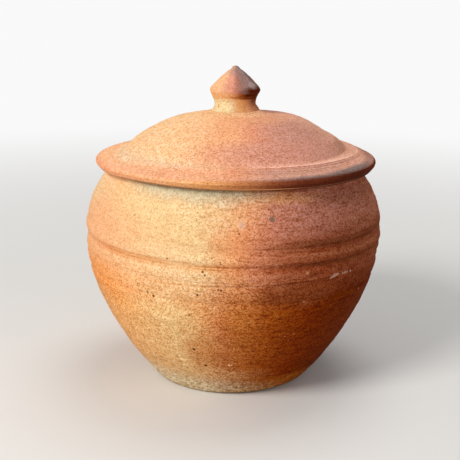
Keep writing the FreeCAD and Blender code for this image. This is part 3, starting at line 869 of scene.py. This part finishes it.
# Marks on the lid's front: how strong they are, then the turn, distance out and radius of each in mm
LID_MARKS = {
    "pit": (1.0, ((-14, 45.9, 0.35), (-11.6, 47, 0.35), (-34.4, 44.1, 0.4), (-31.6, 46.2, 0.35))),
    "grey": (0.9, ((-3.2, 56.5, 0.45), (14.8, 45.4, 0.6), (13.6, 45.6, 0.5), (25.2, 34.8, 0.5))),
    "white_ash": (0.8, (
        (4, 46.7, 0.5), (5, 46.8, 0.4), (40.8, 43.6, 0.5), (42, 43.8, 0.4), (36.5, 34.4, 0.35),
        (38.5, 34.7, 0.35),
    )),
}

# Patches of the lid, in mm and degrees: colour, turn, radius, half width, half height, softness, strength
LID_PATCHES = (
    ("lid_mauve", 48, 38, 22, 8, 0.7, 0.8),
    ("lid_pink", 22, 42, 34, 6, 0.7, 0.8),
    ("lid_orange", 34, 18, 50, 7, 0.8, 0.6),
    ("rim_peach", -20, 11, 110, 3.2, 0.8, 0.9),
    ("lid_cream", -40, 11.5, 60, 2.4, 0.8, 0.8),
    ("crease_shade", 76, 44.5, 14, 2.4, 0.8, 0.7),
    ("crease_pale", -62, 48.0, 24, 3.0, 0.8, 0.6),
    ("crease_pale", -26, 47.6, 18, 2.6, 0.8, 0.5),
    ("lid_orange", -30, 30, 12, 5, 0.8, 0.35),
    ("edge_pink", -58, 56.5, 20, 2.5, 0.8, 0.3),
    ("charcoal", 46, 57.4, 34, 2.0, 0.6, 1.0),
    ("rim_end", 92, 56.5, 16, 3.5, 0.7, 0.7),
)

# Lines on the lid's rim, painted highlight on the bead and between the grooves and painted shade in the
# grooves: place beyond the bead, half width (mm), first and last side, strength, tint
LID_LINES = (
    (0.0, 0.4, 0.48, 1.0, 0.7, PALE_LINE),
    (0.75, 0.3, 0.3, 1.0, 0.5, DARK_GRAIN_AND_SHADE),
    (1.5, 0.25, 0.5, 1.0, 0.5, DARK_GRAIN_AND_SHADE),
    (1.9, 0.25, 0.5, 1.0, 0.4, PALE_LINE),
    (2.4, 0.25, 0.5, 1.0, 0.6, DARK_GRAIN_AND_SHADE),
    (3.3, 0.3, 0.5, 1.0, 0.7, DARK_GRAIN_AND_SHADE),
    (3.8, 0.25, 0.5, 1.0, 0.4, PALE_LINE),
    (4.3, 0.25, 0.5, 1.0, 0.5, DARK_GRAIN_AND_SHADE),
)


def lid_finish(wall):
    """The lid: cream on the left, coral and mauve on the right, a grey streak on the rim."""
    f = Finish("lid clay")
    side = f.wheel(f.radius, 0.08, 0.07)
    dome = f.ramp(side, (
        (0.0, "lid_cream"), (0.25, "lid_peach"), (0.4, "lid_orange"), (0.5, "lid_orange"),
        (0.62, "lid_coral"), (0.75, "lid_pink"), (0.9, "lid_mauve"), (1.0, "lid_far"),
    ))
    rim = f.ramp(side, (
        (0.0, "rim_peach"), (0.25, "rim_salmon"), (0.4, "rim_salmon"), (0.5, "rim_coral"),
        (0.64, "rim_rose"), (0.85, "rim_rose"), (1.0, "rim_far"),
    ))
    edge = f.ramp(side, (
        (0.0, "edge_salmon"), (0.26, "edge_pale"), (0.4, "edge_ochre"), (0.5, "edge_coral"),
        (0.62, "rim_brown"), (0.72, "rim_dark"), (0.9, "rim_black"), (1.0, "rim_dark"),
    ))
    reach = f.radius
    for far, power in BEAD_DRIFT:
        rightward = f.math("POWER", f.math("MAXIMUM", f.sideways, 0.0), power)
        reach = f.math("SUBTRACT", reach, f.times(rightward, far))
    paint = f.mix(f.step(reach, BEAD_RING + 0.3 * MM, BEAD_RING + 1.6 * MM), dome, rim)
    paint = f.patched(paint, LID_PATCHES)
    near_bead = f.step(reach, BEAD_RING - 5 * MM, BEAD_RING)
    near_bead = f.times(near_bead, f.step(reach, BEAD_RING + 0.6 * MM, BEAD_RING))
    near_bead = f.times(near_bead, f.step(side, 0.42, 0.7))
    near_bead = f.times(near_bead, f.step(side, 1.0, 0.9, 0.15, 1.0))
    paint = f.lay(paint, near_bead, "bead_pale")
    broken = f.step(f.drawn(reach, 16 * MM, 3 * MM, 2.0, 0.6), 0.3, 0.6, 0.55, 1.0)
    # painted highlight on the bead and between its grooves, and painted shade in the grooves
    for beyond, half, first, last, strength, tint in LID_LINES:
        thin = f.ring_line(reach, BEAD_RING + beyond * MM, half * MM, first, last, broken)
        paint = f.shade(paint, f.times(thin, strength), tint)
    # the edge that turns over, darker low on its lip on the right, and a painted shadow where it shuts on the
    # jar
    fall = f.math("SUBTRACT", f.height, f.step(side, 0.3, 0.55, -0.1 * MM, 0.54 * MM))
    paint = f.mix(f.step(fall, 95.1 * MM, 94.3 * MM), paint, edge)
    right = f.step(side, 0.55, 0.68)
    low = f.step(f.height, 93.6 * MM, 92.2 * MM)
    paint = f.lay(paint, f.times(low, f.times(right, 0.6)), "lip_dark_and_gap_shadow")
    lip = f.times(f.line(f.height, 92.0 * MM, 0.3 * MM), f.times(right, f.step(side, 0.97, 0.85)))
    paint = f.lay(paint, f.times(lip, 0.4), "lip_pale")
    # painted shadow of the gap where the lid shuts on the jar
    gap_shadow = f.times(f.step(f.height, 91.7 * MM, 91.3 * MM), f.step(side, 0.2, 0.5, 0.0, 0.7))
    paint = f.lay(paint, gap_shadow, "lip_dark_and_gap_shadow")
    paint, fine = f.grain(paint, f.step(side, 0.3, 0.5, 0.95, 0.85), 1.2)
    dots = f.specks(1.2 * MM, 0.55, 0.16 * MM, 0.34 * MM)
    paint = f.shade(paint, f.times(dots, f.step(side, 0.1, 0.4, 0.5, 1.0)), SPECK)
    large = f.specks(2.6 * MM, 0.4, 0.2 * MM, 0.36 * MM)
    paint = f.shade(paint, f.times(large, 0.8), SPECK)
    paint = f.marked(paint, LID_MARKS, wall)
    return f.end(f.bare_inside(paint), 0.85, fine)


# Marks on the knob's front: how strong they are, then the turn, height and radius of each in mm
KNOB_MARKS = {
    "edge_brown": (0.5, (
        (-51, 116.2, 0.5), (-51, 115.5, 0.5), (-33, 118.2, 0.3), (6, 113.6, 0.35), (-4, 113.4, 0.3),
    )),
}

# Patches of the knob, in mm and degrees: colour, turn, height, half width, half height, softness, strength
KNOB_PATCHES = (
    ("edge_black", 54, 122.6, 32, 1.4, 0.5, 1.0),
    ("edge_black", 62, 119.6, 20, 2.4, 0.7, 0.8),
    ("knob_peach", -30, 121.4, 26, 1.2, 0.8, 0.7),
    # a painted highlight on the cone's right, near its widest edge
    ("knob_sheen", 52, 124.9, 13, 1.3, 0.7, 0.9),
    ("knob_violet", 10, 131, 100, 2.6, 0.6, 0.55),
    ("neck_light", -26, 116.4, 14, 1.4, 0.8, 0.6),
)


def knob_finish(wall):
    """The knob: a salmon and grey cone with a painted highlight on its right, over a cream neck, dark under
    its edge on the right.
    """
    f = Finish("knob clay")
    side = f.wheel(f.height, 0.05, 0.05)
    cone = f.ramp(side, (
        (0.0, "knob_peach"), (0.16, "knob_peach"), (0.32, "knob_salmon"), (0.42, "knob_salmon"),
        (0.49, "knob_rose"), (0.58, "knob_mauve"), (0.68, "knob_grey"), (0.8, "knob_grey"),
        (0.88, "knob_violet"), (0.94, "knob_edge"), (1.0, "knob_far"),
    ))
    under = f.ramp(side, (
        (0.0, "edge_orange"), (0.36, "edge_sand"), (0.5, "edge_tan"), (0.62, "edge_brown"),
        (0.74, "edge_black"), (0.92, "edge_black"), (1.0, "neck_dark"),
    ))
    neck = f.ramp(side, (
        (0.0, "neck_cream"), (0.3, "neck_cream"), (0.42, "neck_sand"), (0.54, "neck_tan"),
        (0.68, "neck_orange"), (0.82, "neck_brown"), (1.0, "neck_dark"),
    ))
    foot = f.ramp(side, (
        (0.0, "neck_light"), (0.35, "neck_sand"), (0.5, "rim_peach"), (0.65, "neck_tan"),
        (1.0, "lid_coral"),
    ))
    paint = f.mix(f.step(f.height, 112.6 * MM, 114.2 * MM), foot, neck)
    paint = f.mix(f.step(f.height, 118.6 * MM, 119.6 * MM), paint, under)
    brown = f.times(f.line(f.height, 119.9 * MM, 0.5 * MM), f.step(side, 0.15, 0.5))
    paint = f.lay(paint, f.times(brown, 0.7), "edge_brown")
    paint = f.mix(f.step(f.height, 121.2 * MM, 121.8 * MM), paint, cone)
    paint = f.patched(paint, KNOB_PATCHES)
    paint = f.marked(paint, KNOB_MARKS, wall)
    paint, fine = f.grain(paint, 0.55)
    paint = f.shade(paint, f.times(f.specks(1.6 * MM, 0.4, 0.14 * MM, 0.34 * MM), 0.7), SPECK)
    return f.end(paint, 0.8, fine)


# Lamps: name, place, size, power and colour, and the point in the jar that they aim at
LAMPS = (
    ("key", (-0.62, -0.66, 0.72), 0.42, 8.4, (1.0, 0.98, 0.95)),
    ("fill", (0.75, -0.55, 0.45), 0.6, 1.3, (0.97, 0.98, 1.0)),
    ("top", (0.15, 0.25, 1.0), 0.6, 2.9, (1.0, 0.99, 0.97)),
)
LAMP_AIM = (0, 0, 0.065)

# How bright the world is as light, and how white the room looks
WORLD_LIGHT = 0.30
ROOM_WHITE = 0.95
WHITE = (1, 1, 1, 1)

# The floor: half its width, its colour, and from where to where it fades into the room's white
FLOOR_HALF = 6.0
FLOOR_COLOUR = (0.78, 0.77, 0.75, 1)
FLOOR_FADE = (0.12, 0.75)


def add_area(name, place, size, power, tone):
    """A round, soft lamp that points at the jar."""
    lamp = bpy.data.lights.new(name, "AREA")
    lamp.shape = "DISK"
    lamp.size = size
    lamp.energy = power
    lamp.color = tone
    light = bpy.data.objects.new(name, lamp)
    light.location = place
    light.rotation_mode = "QUATERNION"
    light.rotation_quaternion = (Vector(LAMP_AIM) - Vector(place)).to_track_quat("-Z", "Y")
    bpy.context.scene.collection.objects.link(light)


def studio():
    """The lamps, and a world that looks white but lights less."""
    for lamp in LAMPS:
        add_area(*lamp)
    world = bpy.data.worlds.new("studio")
    bpy.context.scene.world = world
    world.use_nodes = True
    n = Nodes(world.node_tree)
    plain = n.nodes["Background"]
    plain.inputs["Color"].default_value = WHITE
    plain.inputs["Strength"].default_value = WORLD_LIGHT
    room = n.make("Background", 0, {"Color": WHITE, "Strength": ROOM_WHITE})
    both = n.make("MixShader", 0, {0: n.seen_directly(), 1: plain.outputs[0], 2: room})
    n.links.new(both, n.nodes["World Output"].inputs["Surface"])


def floor():
    """The plain floor, which fades into the room's white away from the jar."""
    mesh = bpy.data.meshes.new("floor")
    corners = [(x * FLOOR_HALF, y * FLOOR_HALF, 0) for x, y in ((-1, -1), (1, -1), (1, 1), (-1, 1))]
    mesh.from_pydata(corners, [], [(0, 1, 2, 3)])
    ground = bpy.data.objects.new("floor", mesh)
    bpy.context.scene.collection.objects.link(ground)
    material = bpy.data.materials.new("floor")
    material.use_nodes = True
    n = Nodes(material.node_tree)
    shader = n.nodes["Principled BSDF"]
    shader.inputs["Base Color"].default_value = FLOOR_COLOUR
    shader.inputs["Roughness"].default_value = 0.9
    white = n.make("Emission", 0, {"Strength": ROOM_WHITE})
    away = n.vector("LENGTH", n.make("TexCoord", "Object", {}))
    share = n.times(n.step(away, *FLOOR_FADE), n.seen_directly())
    both = n.make("MixShader", 0, {0: share, 1: shader.outputs[0], 2: white})
    n.links.new(both, n.nodes["Material Output"].inputs["Surface"])
    mesh.materials.append(material)


def camera():
    """The camera, where the photograph was taken from."""
    tilt, lean = math.radians(CAMERA_TILT), math.radians(CAMERA_LEAN)
    ahead = Vector((0, math.cos(tilt), -math.sin(tilt)))
    level, over = Vector((1, 0, 0)), Vector((0, math.sin(tilt), math.cos(tilt)))
    right = math.cos(lean) * level + math.sin(lean) * over
    up = math.cos(lean) * over - math.sin(lean) * level
    data = bpy.data.cameras.new("camera")
    data.sensor_width = SENSOR
    data.lens = CAMERA_LENS
    data.clip_start = 0.01
    data.clip_end = 50
    eye = bpy.data.objects.new("camera", data)
    turn = Matrix((right, up, -ahead)).transposed()
    eye.matrix_world = Matrix.Translation(CAMERA_PLACE) @ turn.to_4x4()
    bpy.context.scene.collection.objects.link(eye)
    bpy.context.scene.camera = eye


camera()
floor()
studio()
for make, finish, node, body, slot in (
    (make_jar, jar_finish, "jar_body", "jar", "jar_stoneware"),
    (make_lid, lid_finish, "lid", "lid", "lid_stoneware"),
    (make_knob, knob_finish, "lid_knob", "lid", "knob_stoneware"),
):
    piece, wall = make()
    piece.data.materials.append(finish(wall))
    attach(piece, body)
    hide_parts(node)
bpy.context.scene.view_settings.view_transform = "Standard"
